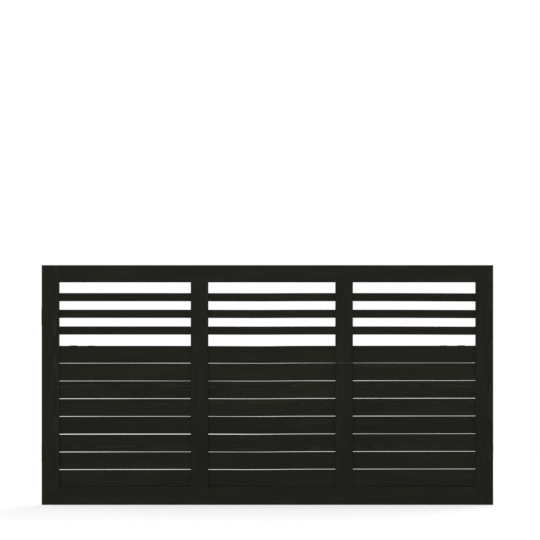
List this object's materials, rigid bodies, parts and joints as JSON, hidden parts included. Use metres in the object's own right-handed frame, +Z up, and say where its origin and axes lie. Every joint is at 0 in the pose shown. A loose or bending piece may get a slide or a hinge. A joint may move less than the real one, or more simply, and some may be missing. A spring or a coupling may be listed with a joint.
{
  "type": "wooden fence panel",
  "caption": "Dark-stained wooden fence panel: close-set horizontal boards below an open band of narrow slats, in a flush tenoned frame with mid stiles, to stand between posts.",
  "frame": {"origin": "centre of the left stile's outer edge face, which is fastened to the left-hand post", "axes": "+X along the panel to the right stile, -Y out of the front face, +Z up"},
  "size_m": [1.8, 0.045, 0.956],
  "materials": {
    "frame_timber": "matte",
    "infill_timber": "matte",
    "steel_fittings": "satin"
  },
  "bodies": {
    "root": {"left_stile": "frame_timber", "right_stile": "frame_timber", "top_rail": "frame_timber", "bottom_rail": "frame_timber", "front_mid_stile_1": "frame_timber", "back_mid_stile_1": "frame_timber", "front_mid_stile_2": "frame_timber", "back_mid_stile_2": "frame_timber", "slat_1": "infill_timber", "slat_2": "infill_timber", "slat_3": "infill_timber", "board_1": "infill_timber", "board_2": "infill_timber", "board_3": "infill_timber", "board_4": "infill_timber", "board_5": "infill_timber", "board_6": "infill_timber", "board_7": "infill_timber", "board_8": "infill_timber"}
  },
  "joints": []
}
